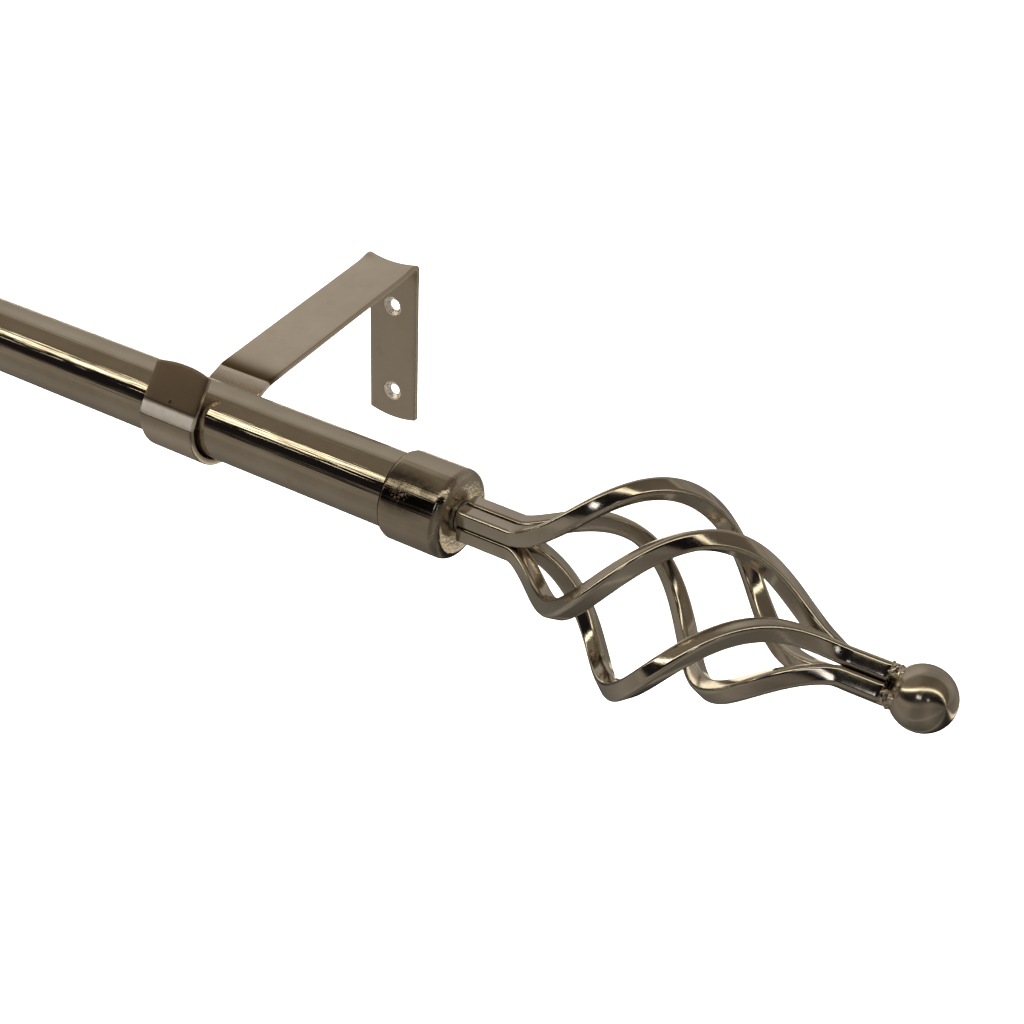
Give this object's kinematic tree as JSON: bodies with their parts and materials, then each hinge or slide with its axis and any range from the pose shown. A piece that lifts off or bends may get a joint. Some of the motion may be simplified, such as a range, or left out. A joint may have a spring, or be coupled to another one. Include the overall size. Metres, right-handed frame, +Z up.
{
  "type": "curtain rod with brackets",
  "caption": "Round metal curtain rod that lifts out of open hook wall brackets, with end caps carrying twisted basket finials tipped by a ball.",
  "frame": {"origin": "point on the wall half way between the two brackets, at the height of the middle of each pair of wall screws", "axes": "+X along the rod to the right seen from the room, +Y out of the back of the wall plates into the wall, +Z up"},
  "size_m": [1.361, 0.1618, 0.0935],
  "materials": {
    "bright_nickel": "bright warm nickel plate",
    "satin_nickel": "satin warm nickel plate",
    "weld_nickel": "lumpy plated braze",
    "zinc_steel": "zinc plate",
    "nylon": "moulded"
  },
  "bodies": {
    "brackets": {"bracket_right": "satin_nickel", "bracket_left": "satin_nickel"},
    "rod": {"rod_tube": "bright_nickel"},
    "cap_right": {"cap_right": "bright_nickel", "liner_right": "nylon"},
    "finial_right": {"root_plate_right": "zinc_steel", "stud_right": "zinc_steel", "nut_right": "zinc_steel", "washer_right": "zinc_steel", "bar_1_right": "bright_nickel", "bar_2_right": "bright_nickel", "bar_3_right": "bright_nickel", "bar_4_right": "bright_nickel", "weld_right": "weld_nickel", "ball_right": "bright_nickel"},
    "cap_left": {"cap_left": "bright_nickel", "liner_left": "nylon"},
    "finial_left": {"root_plate_left": "zinc_steel", "stud_left": "zinc_steel", "nut_left": "zinc_steel", "washer_left": "zinc_steel", "bar_1_left": "bright_nickel", "bar_2_left": "bright_nickel", "bar_3_left": "bright_nickel", "bar_4_left": "bright_nickel", "weld_left": "weld_nickel", "ball_left": "bright_nickel"}
  },
  "joints": [
    {"name": "rod_lift", "type": "slide", "parent": "brackets", "child": "rod", "axis": [0, 0.5878, 0.809], "range_m": [0, 0.06]},
    {"name": "cap_right_pull", "type": "slide", "parent": "rod", "child": "cap_right", "axis": [1, 0, 0], "range_m": [0, 0.03]},
    {"name": "finial_right_turn", "type": "hinge", "parent": "cap_right", "child": "finial_right", "pos_m": [0.505, -0.127, 0.0241], "axis": [1, 0, 0], "continuous": true},
    {"name": "cap_left_pull", "type": "slide", "parent": "rod", "child": "cap_left", "axis": [-1, 0, 0], "range_m": [0, 0.03]},
    {"name": "finial_left_turn", "type": "hinge", "parent": "cap_left", "child": "finial_left", "pos_m": [-0.505, -0.127, 0.0241], "axis": [-1, 0, 0], "continuous": true}
  ]
}
